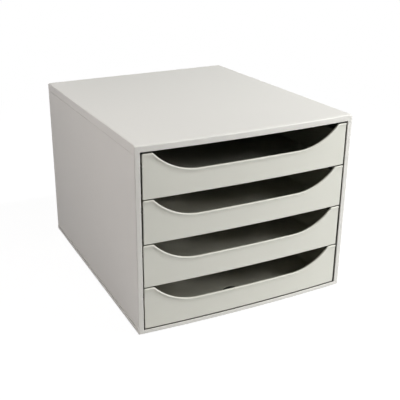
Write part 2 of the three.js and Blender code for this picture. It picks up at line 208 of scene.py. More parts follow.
def rounded_outline(
    corners: Corners,
    radii: float | list[float],
    insets: np.ndarray | list[float],
    support: float = 0.35,
    between: int = 0,
) -> Arrays:
    """Closed outlines with an arc at every corner, each moved inwards by a distance.

    A corner moves inwards by the sum of its edges' unit normals over one plus their dot product.
    Its arc starts one radius times the tangent of half the turn before the corner, and runs about
    a centre that lies one radius to the inner side. A support point on each side of the arc keeps
    the flat beside it flat. The edge value of an outer arc rises and falls as a sine.

    Args:
        corners: corner points, counter-clockwise.
        radii: radius of every corner, or one for all.
        insets: distances inwards, one for each outline; negative is outwards.
        support: distance of the support points from the arc's ends.
        between: further points on each straight part.

    Returns:
        Points shaped (insets, count, 2), and for each point how far it is on an outer edge, 0 to 1.
    """
    inset = np.asarray(insets, float)[:, None]
    points = np.asarray(corners, float)[None]
    incoming = points - np.roll(points, 1, axis=1)
    incoming = incoming / np.linalg.norm(incoming, axis=-1, keepdims=True)
    outgoing = np.roll(incoming, -1, axis=1)
    aligned = (incoming * outgoing).sum(-1)
    turn = np.arctan2((turned_left(incoming) * outgoing).sum(-1), aligned)
    move = (turned_left(incoming) + turned_left(outgoing)) / (1 + aligned)[..., None]
    points = points + inset[..., None] * move
    radius = np.maximum(np.asarray(radii, float) - np.sign(turn) * inset, LEAST_RADIUS)
    tangent = radius * np.tan(np.abs(turn) / 2)
    length = np.linalg.norm(np.roll(points, -1, axis=1) - points, axis=-1)
    free = length - tangent - np.roll(tangent, -1, axis=1)
    after = np.clip(SUPPORT_SHARE * free, 0, support)
    before = np.roll(after, 1, axis=1)
    share = np.linspace(0, 1, ARC_STEPS + 1)
    angle = (np.abs(turn)[..., None] * share)[..., None]
    normal = turned_left(incoming) * np.sign(turn)[..., None]
    centre = points - incoming * tangent[..., None] + normal * radius[..., None]
    sweep = incoming[..., None, :] * np.sin(angle) - normal[..., None, :] * np.cos(angle)
    arcs = centre[..., None, :] + radius[..., None, None] * sweep
    lead = points - incoming * (tangent + before)[..., None]
    trail = points + outgoing * (tangent + after)[..., None]
    along = (np.arange(1, between + 1) / (between + 1))[:, None]
    ahead = np.roll(lead, -1, axis=1)
    straight = trail[..., None, :] * (1 - along) + ahead[..., None, :] * along
    parts = [lead[..., None, :], arcs, trail[..., None, :], straight]
    outline = np.concatenate(parts, axis=-2)
    edge = np.zeros(outline.shape[1:3])
    wear = LEAST_ARC_WEAR + (1 - LEAST_ARC_WEAR) * np.sin(math.pi * share)
    edge[:, 1 : ARC_STEPS + 2] = (turn[0] > 0)[:, None] * wear
    return outline.reshape(len(outline), -1, 2), edge.reshape(-1)


def quarter_turn(radius: float, steps: int = 4) -> Arrays:
    """A quarter circle as two runs, the radius times the sine and times one minus the cosine.

    Args:
        radius: the circle's radius.
        steps: steps in the quarter turn.

    Returns:
        The run that rises from 0 to the radius fast at first, and the one that rises slowly.
    """
    angle = np.linspace(0, math.pi / 2, steps + 1)
    return radius * np.sin(angle), radius * (1 - np.cos(angle))


def softened_run(start: float, end: float, soften: float, stops: np.ndarray | list = ()) -> Arrays:
    """Depths along a run with softened ends, and how far its profile shrinks at each.

    At each end the profile shrinks by the softening times one minus the sine of an angle, while
    its depth moves on by the softening times one minus the cosine, over a quarter turn.

    Args:
        start: depth of the front end.
        end: depth of the rear end.
        soften: radius of the ends' edges.
        stops: further depths between them.

    Returns:
        The depths and the insets.
    """
    fast, slow = quarter_turn(soften, END_STEPS)
    inner = np.concatenate([[start + 2 * soften], stops, [end - 2 * soften]])
    depth = np.concatenate([start + slow, inner, end - slow[::-1]])
    inset = np.concatenate([soften - fast, np.zeros(len(inner)), (soften - fast)[::-1]])
    return depth, inset


def standing(outline: np.ndarray, depth: np.ndarray) -> np.ndarray:
    """Flat outlines (across, up) as points (across, depth, up)."""
    rows = np.broadcast_to(depth, outline.shape[:2])
    return np.stack([outline[..., 0], rows, outline[..., 1]], axis=-1)


def turned(
    middle: tuple[float, float], radius: np.ndarray, level: np.ndarray, angle: np.ndarray
) -> np.ndarray:
    """Rings about an upright axis: the middle plus the radius in the direction of each angle.

    Args:
        middle: where the axis is, across and in depth.
        radius: radius of each ring.
        level: level of each ring.
        angle: the angles of every ring's points.

    Returns:
        Points shaped (rings, angles, 3).
    """
    reach = np.stack([np.cos(angle), np.sin(angle)], axis=-1)
    flat = np.asarray(middle) + radius[:, None, None] * reach
    up = np.broadcast_to(level[:, None, None], flat.shape[:2] + (1,))
    return np.concatenate([flat, up], axis=-1)


def add_object(name: str, data: bpy.types.ID) -> bpy.types.Object:
    """A new object that holds the data, linked into the scene."""
    made = bpy.data.objects.new(name, data)
    bpy.context.scene.collection.objects.link(made)
    return made


class Shell:
    """Grids of points that together close the surface of one piece."""

    def __init__(self) -> None:
        """Starts with no points."""
        self._points: list[np.ndarray] = []
        self._edges: list[np.ndarray] = []
        self._faces: list[list[int]] = []
        self._count = 0

    def grid(
        self,
        points: np.ndarray,
        edge: float | np.ndarray = 0.0,
        wrap_rows: bool = False,
        wrap_columns: bool = False,
        keep: np.ndarray | None = None,
    ) -> np.ndarray:
        """Adds a grid of four-sided faces.

        Args:
            points: places in millimetres, shaped (rows, columns, 3).
            edge: how far each point is on a worn edge, 0 to 1.
            wrap_rows: the last row joins the first.
            wrap_columns: the last column joins the first.
            keep: which faces to make, one truth value for each; all where it is left out.

        Returns:
            The numbers of the points, shaped (rows, columns).
        """
        shape = points.shape[:2]
        self._points.append(points.reshape(-1, 3))
        self._edges.append(np.broadcast_to(edge, shape).reshape(-1))
        numbers = self._count + np.arange(math.prod(shape)).reshape(shape)
        self._count += math.prod(shape)
        around = np.concatenate([numbers, numbers[:1]]) if wrap_rows else numbers
        if wrap_columns:
            around = np.concatenate([around, around[:, :1]], axis=1)
        quads = np.stack(
            [around[:-1, :-1], around[1:, :-1], around[1:, 1:], around[:-1, 1:]], axis=-1
        )
        chosen = quads.reshape(-1, 4) if keep is None else quads[keep]
        self._faces.extend(chosen.tolist())
        return numbers

    def tube(
        self, points: np.ndarray, edge: np.ndarray, keep: np.ndarray | None = None
    ) -> None:
        """Adds a grid whose columns wrap, and closes its first and last rows with flat faces.

        Args:
            points: places in millimetres, shaped (rows, columns, 3).
            edge: how far each point is on a worn edge, 0 to 1.
            keep: which faces to make.
        """
        numbers = self.grid(points, edge, wrap_columns=True, keep=keep)
        self._faces.extend([numbers[0].tolist(), numbers[-1].tolist()])

    def run(
        self,
        corners: Corners,
        radii: float | list[float],
        start: float,
        end: float,
        soften: float,
    ) -> None:
        """Adds a profile seen from the front, carried along the depth, with softened ends.

        Args:
            corners: corners of the profile (across, up), counter-clockwise.
            radii: radius of every corner, or one for all.
            start: depth of the front end.
            end: depth of the rear end.
            soften: radius of the ends' edges.
        """
        depth, inset = softened_run(start, end, soften)
        outline, edge = rounded_outline(corners, radii, inset)
        ends = (inset > 0)[:, None] * END_WEAR
        self.tube(standing(outline, depth[:, None]), np.maximum(edge, ends))

    def to_object(self, name: str) -> bpy.types.Object:
        """Makes the mesh object: doubles merged, faces outwards, smooth but for flat caps.

        Args:
            name: the piece's name.

        Returns:
            The new object, at the origin.
        """
        mesh = bpy.data.meshes.new(name)
        points = np.concatenate(self._points) * METRES
        mesh.from_pydata(points.tolist(), [], self._faces)
        attribute = mesh.attributes.new(EDGE_ATTRIBUTE, "FLOAT", "POINT")
        attribute.data.foreach_set("value", np.concatenate(self._edges).astype(np.float32))
        work = bmesh.new()
        work.from_mesh(mesh)
        bmesh.ops.remove_doubles(work, verts=work.verts, dist=MERGE_METRES)
        bmesh.ops.recalc_face_normals(work, faces=work.faces)
        open_edges = sum(1 for e in work.edges if not e.is_manifold)
        volume = work.calc_volume(signed=True) * 1e6
        work.to_mesh(mesh)
        work.free()
        totals = np.zeros(len(mesh.polygons), np.int32)
        mesh.polygons.foreach_get("loop_total", totals)
        mesh.polygons.foreach_set("use_smooth", totals <= 4)
        mesh.set_sharp_from_angle(angle=SMOOTH_ANGLE)
        mesh.update()
        counts = (name, len(totals), volume, open_edges)
        LOG.info("%s: %d faces, %.1f cm3, %d open edges", *counts)
        return add_object(name, mesh)


def rectangle(left: float, bottom: float, right: float, top: float) -> Corners:
    """Corners of a rectangle, counter-clockwise."""
    return [(left, bottom), (right, bottom), (right, top), (left, top)]


def on_side(corners: Corners, side: Side) -> Corners:
    """A profile drawn for the right side, as it is on the given side, still counter-clockwise."""
    mirrored = [(-across, up) for across, up in reversed(corners)]
    return corners if side is Side.RIGHT else mirrored


class Value:
    """What a node gives on, such as a number. Its operators add Math nodes."""

    def __init__(self, graph: "Graph", socket: bpy.types.NodeSocket | None) -> None:
        """Wraps an output socket.

        Args:
            graph: the graph that the node is in.
            socket: the output socket, or None where the node has none.
        """
        self.graph = graph
        self.socket = socket

    def _maths(self, operation: str, *numbers: object) -> "Value":
        """A Math node on the given numbers."""
        return self.graph.node("ShaderNodeMath", {"operation": operation}, dict(enumerate(numbers)))

    def __add__(self, other: object) -> "Value":
        """Sum."""
        return self._maths("ADD", self, other)

    __radd__ = __add__

    def __sub__(self, other: object) -> "Value":
        """Difference."""
        return self._maths("SUBTRACT", self, other)

    def __rsub__(self, other: object) -> "Value":
        """Difference, with this number second."""
        return self._maths("SUBTRACT", other, self)

    def __mul__(self, other: object) -> "Value":
        """Product."""
        return self._maths("MULTIPLY", self, other)

    __rmul__ = __mul__

    def __abs__(self) -> "Value":
        """The number without its sign."""
        return self._maths("ABSOLUTE", self)

    def least(self, other: object) -> "Value":
        """The smaller of two numbers."""
        return self._maths("MINIMUM", self, other)


class Graph:
    """The node graph of one material or world."""

    def __init__(self, tree: bpy.types.NodeTree) -> None:
        """Empties the tree.

        Args:
            tree: the node tree to fill.
        """
        self.tree = tree
        tree.nodes.clear()

    def node(
        self,
        kind: str,
        settings: dict[str, object] | None = None,
        inputs: dict[int | str, object] | None = None,
        output: int | str = 0,
    ) -> Value:
        """Makes one node.

        Args:
            kind: the node's type.
            settings: properties of the node, set first; a list of stops fills a colour ramp.
            inputs: socket values, or Value links, by socket name or number.
            output: the output socket wanted.

        Returns:
            The wanted output.
        """
        made = self.tree.nodes.new(kind)
        for key, value in (settings or {}).items():
            if key == "stops":
                self._fill_ramp(made.color_ramp, value)
            else:
                setattr(made, key, value)
        for key, value in (inputs or {}).items():
            if isinstance(value, Value):
                self.tree.links.new(value.socket, made.inputs[key])
            else:
                made.inputs[key].default_value = value
        return Value(self, made.outputs[output] if len(made.outputs) else None)

    @staticmethod
    def _fill_ramp(ramp: bpy.types.ColorRamp, stops: list[tuple[float, float]]) -> None:
        """Sets a ramp's stops.

        Args:
            ramp: the ramp.
            stops: places and grey levels.
        """
        while len(ramp.elements) > 1:
            ramp.elements.remove(ramp.elements[-1])
        for index, (place, level) in enumerate(stops):
            stop = ramp.elements[0] if index == 0 else ramp.elements.new(place)
            stop.position = place
            stop.color = (level, level, level, 1)

    def noise(self, place: Value, scale: float, detail: float = 2.0, rough: float = 0.5) -> Value:
        """Noise from 0 to 1.

        Args:
            place: coordinates.
            scale: bumps to the metre.
            detail: number of finer layers.
            rough: strength of the finer layers.

        Returns:
            The noise level.
        """
        inputs = {"Vector": place, "Scale": scale, "Detail": detail, "Roughness": rough}
        return self.node("ShaderNodeTexNoise", {}, inputs, "Fac")

    def ramp(self, level: Value, low: float, high: float) -> Value:
        """An even rise from 0 to 1 as the level goes from low to high."""
        stops = [(low, 0.0), (high, 1.0)]
        return self.node("ShaderNodeValToRGB", {"stops": stops}, {"Fac": level})

    def blend(self, share: Value, first: object, second: object) -> Value:
        """A colour between two colours, which are the Mix node's inputs 6 and 7."""
        settings = {"data_type": "RGBA"}
        return self.node("ShaderNodeMix", settings, {0: share, 6: first, 7: second}, 2)


def new_material(name: str) -> tuple[bpy.types.Material, Graph]:
    """An empty material and its graph."""
    material = bpy.data.materials.new(name)
    material.use_nodes = True
    return material, Graph(material.node_tree)


def shade(colour: Colour, factor: float) -> tuple[float, float, float, float]:
    """A linear colour made lighter or darker, with full alpha."""
    return tuple(min(1.0, level * factor) for level in colour) + (1.0,)


@dataclass(frozen=True)
class Finish(ABC):
    """What every finish has: a name, a colour, a roughness and one way to become a material."""

    name: str
    colour: Colour
    roughness: float

    @abstractmethod
    def sockets(self, graph: Graph, place: Value, worn: Value) -> dict[str, object]:
        """What goes into the shader's sockets.

        Args:
            graph: the material's graph.
            place: the place on the object at rest.
            worn: how far it is on a worn edge.

        Returns:
            Values and links by socket name.
        """

    def make(self) -> bpy.types.Material:
        """Builds the material.

        Returns:
            The material.
        """
        material, graph = new_material(self.name)
        place = graph.node("ShaderNodeTexCoord", output="Object")
        worn = graph.node("ShaderNodeAttribute", {"attribute_name": EDGE_ATTRIBUTE}, output="Fac")
        sockets = self.sockets(graph, place, worn)
        surface = graph.node("ShaderNodeBsdfPrincipled", {}, sockets)
        graph.node("ShaderNodeOutputMaterial", {}, {"Surface": surface})
        return material


@dataclass(frozen=True)
class MouldedPlastic(Finish):
    """Satin injection-moulded plastic: fine mould grain, faint flow marks, polished edges with a
    painted highlight, and painted shade inside the case.
    """

    gloss: float = 0.35
    # Painted shade: deep inside the case the colour is darkened to this share and warmed by the
    # tint.
    painted_shade_share: float = 0.25
    painted_shade_start: float = 0.5
    painted_shade_fade: float = 0.5
    painted_shade_tint: Colour = (1.02, 1.0, 0.96)
    cloud_scale: float = 14.0
    cloud_roughness: float = 0.12
    fleck_scale: float = 900.0
    fleck_share: float = 0.25
    fleck_roughness: float = 0.1
    tone_range: tuple[float, float] = (0.3, 0.7)
    mottle: float = 0.012
    grain_scale: float = 2600.0
    grain_height: float = 0.5
    wave_scale: float = 45.0
    wave_height: float = 0.9
    bump_strength: float = 0.5
    bump_distance: float = 0.00002
    rub_scale: float = 70.0
    rub_range: tuple[float, float] = (0.35, 0.7)
    rub_patches: float = 0.4
    edge_highlight_share: float = 0.8
    rub_polish: float = 0.1
    # Painted highlight on edges, mixed with the rubbed wear.
    edge_highlight_lift: float = 1.12
    ramp_reach: float = 10.0

    # Mask of the painted shade inside the case.
    def _painted_shade(self, graph: Graph, place: Value) -> Value:
        """1 well inside the case and 0 on its outer faces.

        The depth below the outer faces is the least of the distances to both sides, the bowed
        front, the back, the top and the bottom, in millimetres.

        Args:
            graph: the material's graph.
            place: the place on the object at rest.

        Returns:
            The share of painted shade.
        """
        x, y, z = (
            graph.node("ShaderNodeSeparateXYZ", {}, {0: place}, axis) * (1 / METRES)
            for axis in "XYZ"
        )
        bow = x * x * (LAYOUT.bow / LAYOUT.half_width**2)
        depth = LAYOUT.body_half - abs(x)
        for other in (
            y + LAYOUT.half_depth - bow, LAYOUT.half_depth - y,
            LAYOUT.height - z, z - LAYOUT.case_bottom,
        ):
            depth = depth.least(other)
        low, high = self.painted_shade_start, self.painted_shade_start + self.painted_shade_fade
        reach = self.ramp_reach
        return graph.ramp(depth * (1 / reach), low / reach, high / reach)

    def sockets(self, graph: Graph, place: Value, worn: Value) -> dict[str, object]:
        """Mottled colour, lighter on edges as wear and painted highlight, with painted shade
        inside, over a grained surface.

        Args:
            graph: the material's graph.
            place: the place on the object at rest.
            worn: how far it is on an edge, which gets wear and a painted highlight.

        Returns:
            Values and links by socket name.
        """
        cloud = graph.noise(place, self.cloud_scale, 3.0, 0.55)
        fleck = graph.noise(place, self.fleck_scale, 1.0)
        grain = graph.noise(place, self.grain_scale, 2.0, 0.6)
        wave = graph.noise(place, self.wave_scale, 1.0)
        patchy = graph.ramp(graph.noise(place, self.rub_scale, 4.0, 0.65), *self.rub_range)
        rub = worn * (patchy * self.rub_patches + (1 - self.rub_patches))
        mixed = cloud * (1 - self.fleck_share) + fleck * self.fleck_share
        dark, light = shade(self.colour, 1 - self.mottle), shade(self.colour, 1 + self.mottle)
        colour = graph.blend(graph.ramp(mixed, *self.tone_range), dark, light)
        # Painted highlight: a lighter colour on edges, mixed with the rubbed wear.
        colour = graph.blend(rub * self.edge_highlight_share, colour, shade(self.colour, self.edge_highlight_lift))
        # Painted shade: a darker, warmer colour deep inside the case, where shade falls.
        tinted = tuple(level * tint for level, tint in zip(self.colour, self.painted_shade_tint))
        inner = shade(tinted, self.painted_shade_share)
        uneven = (cloud - 0.5) * self.cloud_roughness + (fleck - 0.5) * self.fleck_roughness
        height = grain * self.grain_height + wave * self.wave_height
        bump = {"Strength": self.bump_strength, "Distance": self.bump_distance, "Height": height}
        return {
            "Base Color": graph.blend(self._painted_shade(graph, place), colour, inner),
            "Roughness": uneven + self.roughness - rub * self.rub_polish,
            "Normal": graph.node("ShaderNodeBump", {}, bump),
            "Specular IOR Level": self.gloss,
        }


@dataclass(frozen=True)
class FootRubber(Finish):
    """Dull dark rubber with a dusty bloom and worn edges."""

    bloom_scale: float = 260.0
    bloom_range: tuple[float, float] = (0.4, 0.75)
    bloom_shades: tuple[float, float] = (0.85, 1.5)
    bloom_roughness: float = 0.1
    worn_share: float = 0.5
    worn_lift: float = 2.2
    worn_polish: float = 0.08
    grain_scale: float = 3200.0
    bump_strength: float = 0.6
    bump_distance: float = 0.00005

    def sockets(self, graph: Graph, place: Value, worn: Value) -> dict[str, object]:
        """A dark colour with a pale bloom in patches, over a grained surface.

        Args:
            graph: the material's graph.
            place: the place on the object at rest.
            worn: how far it is on a worn edge.

        Returns:
            Values and links by socket name.
        """
        bloom = graph.ramp(graph.noise(place, self.bloom_scale, 4.0, 0.7), *self.bloom_range)
        grain = graph.noise(place, self.grain_scale, 2.0, 0.6)
        base = graph.blend(bloom, *(shade(self.colour, factor) for factor in self.bloom_shades))
        bright = shade(self.colour, self.worn_lift)
        bump = {"Strength": self.bump_strength, "Distance": self.bump_distance, "Height": grain}
        return {
            "Base Color": graph.blend(worn * self.worn_share, base, bright),
            "Roughness": bloom * self.bloom_roughness + self.roughness - worn * self.worn_polish,
            "Normal": graph.node("ShaderNodeBump", {}, bump),
        }


class Finishes:
    """The finished materials by record slot."""

    def __init__(self) -> None:
        """Builds one material for each slot."""
        case = MouldedPlastic("case_plastic", (0.705, 0.697, 0.655), 0.45, gloss=0.3)
        # The drawers get a lighter painted shade, which starts deeper; the rails get the full one.
        drawer = MouldedPlastic(
            "drawer_plastic", (0.690, 0.690, 0.622), 0.5, gloss=0.25, painted_shade_share=0.72,
            painted_shade_start=1.1,
        )
        rail = MouldedPlastic("rail_plastic", (0.515, 0.510, 0.475), 0.5)
        foot = FootRubber("foot_rubber", (0.043, 0.043, 0.042), 0.82)
        finishes = {Slot.CASE: case, Slot.DRAWER: drawer, Slot.RAIL: rail, Slot.FOOT: foot}
        self.by_slot = {slot: finish.make() for slot, finish in finishes.items()}

    def dress(self, piece: bpy.types.Object, slot: Slot, body: str, node: str) -> None:
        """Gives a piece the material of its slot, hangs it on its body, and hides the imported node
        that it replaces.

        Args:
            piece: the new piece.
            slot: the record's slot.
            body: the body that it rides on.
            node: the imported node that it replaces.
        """
        piece.data.materials.append(self.by_slot[slot])
        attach(piece, body)
        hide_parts(node)


@dataclass(frozen=True)
class SnapTongues:
    """The tongues that reach from the bezel and the back into the case."""

    spread: float = 150.0
    width: float = 24.0
    thickness: float = 1.8
    length: float = 12.0
    rounding: float = 0.5
    rail_middle: float = 40.2

    def add(self, shell: Shell, start: float, end: float) -> None:
        """Adds two tongues under the lid, two over the base and two on each side.

        Args:
            shell: the shell that takes them.
            start: depth of their front ends.
            end: depth of their rear ends.
        """
        half = self.width / 2
        top, bottom = LAYOUT.room_top, LAYOUT.room_bottom
        outer = LAYOUT.wall_inner - LAYOUT.fit_gap
        for side in Side:
            x = side.value * self.spread / 2
            boxes = [
                rectangle(x - half, top - self.thickness, x + half, top),
                rectangle(x - half, bottom, x + half, bottom + self.thickness),
            ]
            for number in (2, LAYOUT.drawer_count):
                middle = LAYOUT.drawer_bottom(number) + self.rail_middle + LAYOUT.pitch / 2
                box = rectangle(outer - self.thickness, middle - half, outer, middle + half)
                boxes.append(on_side(box, side))
            for box in boxes:
                shell.run(box, self.rounding, start, end, self.rounding)


@dataclass(frozen=True)
class FrontBezel:
    """The bowed frame round the drawers."""

    outer_round: float = 1.3
    outer_wear: float = 0.4
    opening_round: float = 0.4
    # Painted highlight along the opening's edge, together with wear.
    opening_wear_and_highlight: float = 0.8
    opening_corner: float = 0.5
    rear_round: float = 0.3
    support: float = 0.4
    straight_steps: int = 36
    tongue_root: float = 2.0

    def _rings(
        self,
        corners: Corners,
        radius: float,
        rings: list[tuple[float, float, float]],
        bowed: bool,
    ) -> Arrays:
        """Rings round the frame, on the bowed front or on the flat rear.

        The depth of a point is the bowed line at its place across, or the rear face, plus the
        ring's setback.

        Args:
            corners: corners of the outer outline or the opening.
            radius: radius of the corners.
            rings: inset, setback behind the front or the rear face, and wear of each ring.
            bowed: whether the rings lie on the bowed front.

        Returns:
            Points shaped (rings, count, 3) and their edge values.
        """
        inset, setback, wear = np.asarray(rings).T[..., None]
        outline, edge = rounded_outline(corners, radius, inset[:, 0], between=self.straight_steps)
        line = LAYOUT.bowed(outline[..., 0]) if bowed else LAYOUT.bezel_rear
        return standing(outline, line + setback), np.maximum(edge / 2, wear)

    def build(self) -> bpy.types.Object:
        """Builds the frame as rings that close on themselves, with its snap tongues.

        Returns:
            The piece.
        """
        half, inner = LAYOUT.half_width, LAYOUT.opening_half
        outer = rectangle(-half, LAYOUT.case_bottom, half, LAYOUT.height)
        opening = rectangle(-inner, LAYOUT.opening_bottom, inner, LAYOUT.opening_top)
        corner, hole = LAYOUT.corner_radius, self.opening_corner
        rim, lip, rear = self.outer_round, self.opening_round, self.rear_round
        fast, slow = quarter_turn(rim)
        near, far = quarter_turn(lip)
        roll = np.stack([slow, rim - fast, np.full_like(slow, self.outer_wear)], axis=-1)
        fall = np.stack([near - lip, far, np.full_like(near, self.opening_wear_and_highlight)], axis=-1)
        front = [*roll, (rim + self.support, 0, 0)]
        edge = [(-lip - self.support, 0, 0), *fall, (0, lip + self.support, 0)]
        groups = [
            self._rings(outer, corner, front, True),
            self._rings(opening, hole, edge, True),
            self._rings(opening, hole, [(0, -2 * rear, 0), (0, -rear, 0), (-rear, 0, 0)], False),
            self._rings(outer, corner, [(rear, 0, 0), (0, -rear, 0), (0, -2 * rear, 0)], False),
        ]
        points, wear = (np.concatenate(part) for part in zip(*groups))
        shell = Shell()
        shell.grid(points, wear, wrap_rows=True, wrap_columns=True)
        tongues, start = SnapTongues(), LAYOUT.bezel_rear
        tongues.add(shell, start - self.tongue_root, start + tongues.length)
        return shell.to_object("bezel_frame")


@dataclass(frozen=True)
class CaseLid:
    """The plain top with a skirt down each side, which leans in a little towards the top."""

    skirt_height: float = 10.4
    skirt_wall: float = 1.4
    skirt_edge: float = 0.15
    lean: float = 0.22
    seam: float = 0.05
    end_round: float = 0.12

    def build(self) -> bpy.types.Object:
        """Builds the lid.

        Returns:
            The piece.
        """
        half, top = LAYOUT.body_half, LAYOUT.height
        low, under = top - self.skirt_height, top - LAYOUT.lid_plate
        inner = half - self.skirt_wall
        corners = [
            (half, low), (half - self.lean, top), (self.lean - half, top), (-half, low),
            (-inner, low), (-inner, under), (inner, under), (inner, low),
        ]
        outer = [self.skirt_edge, LAYOUT.corner_radius]
        radii = outer + outer[::-1] + [INNER_EDGE, INNER_CORNER, INNER_CORNER, INNER_EDGE]
        shell = Shell()
        shell.run(corners, radii, *LAYOUT.body_run(self.seam), self.end_round)
        return shell.to_object("lid")


@dataclass(frozen=True)
class SidePanel:
    """A side wall, stepped in at the skirts of lid and base, with low ribs that seat the rails."""

    side: Side
    bottom: float = 7.0
    top: float = 223.3
    lap: float = 3.0
    joggle_outer: float = 140.5
    joggle_inner: float = 138.1
    rib: float = 1.0
    rib_width: float = 1.4
    rail_bottom: float = 35.85
    rail_top: float = 44.55
    outer_edge: float = 0.15
    inner_edge: float = 0.25
    end_round: float = 0.35
    seam: float = 0.45

    def build(self) -> bpy.types.Object:
        """Builds the panel.

        Returns:
            The piece.
        """
        half, inner = LAYOUT.body_half, LAYOUT.wall_inner
        bottom, top = self.bottom, self.top
        out, into, rib = self.joggle_outer, self.joggle_inner, inner - self.rib
        ribs = []
        for number in LAYOUT.numbers:
            base = LAYOUT.drawer_bottom(number)
            for low in (base + self.rail_top, base + self.rail_bottom - self.rib_width):
                high = low + self.rib_width
                ribs += [(inner, high), (rib, high), (rib, low), (inner, low)]
        corners = [
            (half, bottom), (half, top), (out, top), (out, LAYOUT.room_top),
            (into, LAYOUT.room_top), (into, top - self.lap), (inner, top - self.lap), *ribs,
            (inner, bottom + self.lap), (into, bottom + self.lap), (into, LAYOUT.room_bottom),
            (out, LAYOUT.room_bottom), (out, bottom),
        ]
        radii = [self.outer_edge] * 2 + [self.inner_edge] * (len(corners) - 2)
        if self.side is Side.LEFT:
            radii.reverse()
        shell, profile = Shell(), on_side(corners, self.side)
        shell.run(profile, radii, *LAYOUT.body_run(self.seam), self.end_round)
        return shell.to_object(f"{self.side.name.lower()}_wall")


@dataclass(frozen=True)
class RubberFoot:
    """A round rubber foot with a soft lower edge and two grip grooves."""

    name: str
    x: float
    y: float
    radius: float = 7.0
    height: float = 2.2
    edge_round: float = 0.7
    groove: float = 0.35
    groove_steps: int = 24
    rim_flat: float = 0.6
    land: float = 0.2
    support: float = 0.3
    top_break: float = 0.1
    top_drop: float = 0.08
    top_land: float = 0.4
    steps: int = 48

    def build(self) -> bpy.types.Object:
        """Builds the foot as a profile turned about its upright axis.

        The underside rises by the groove's depth times the square of a sine, twice between the
        middle and the flat of the rim.

        Returns:
            The piece.
        """
        wide, top, edge = self.radius, self.height, self.edge_round
        flat = wide - edge
        reach = np.linspace(0, flat - self.rim_flat, self.groove_steps + 1)
        grooves = self.groove * np.sin(2 * math.pi * reach / reach[-1]) ** 2
        fast, slow = quarter_turn(edge)
        shoulder = [wide, wide, wide - self.top_break, wide - self.top_land, 0.0]
        r = np.concatenate([reach, [flat - self.land], flat + fast, shoulder])
        levels = [edge + self.support, top - self.support, top - self.top_drop, top, top]
        z = np.concatenate([grooves, [0.0], slow, levels])
        worn = np.zeros(len(r))
        worn[len(reach) : len(reach) + len(fast)] = 1.0
        angle = np.linspace(0, 2 * math.pi, self.steps, endpoint=False)
        shell = Shell()
        shell.grid(turned((self.x, self.y), r, z, angle), worn[:, None], wrap_columns=True)
        return shell.to_object(self.name)


@dataclass(frozen=True)
class FootPlaces:
    """Where the four feet are."""

    inset: float = 26.0

    def each(self) -> list[tuple[str, float, float]]:
        """Name, place across and place in depth of every foot."""
        x, y = LAYOUT.half_width - self.inset, LAYOUT.half_depth - self.inset
        ends, sides = {"front": -y, "rear": y}, {"left": -x, "right": x}
        return [(f"{end}_{side}", sides[side], ends[end]) for end in ends for side in sides]


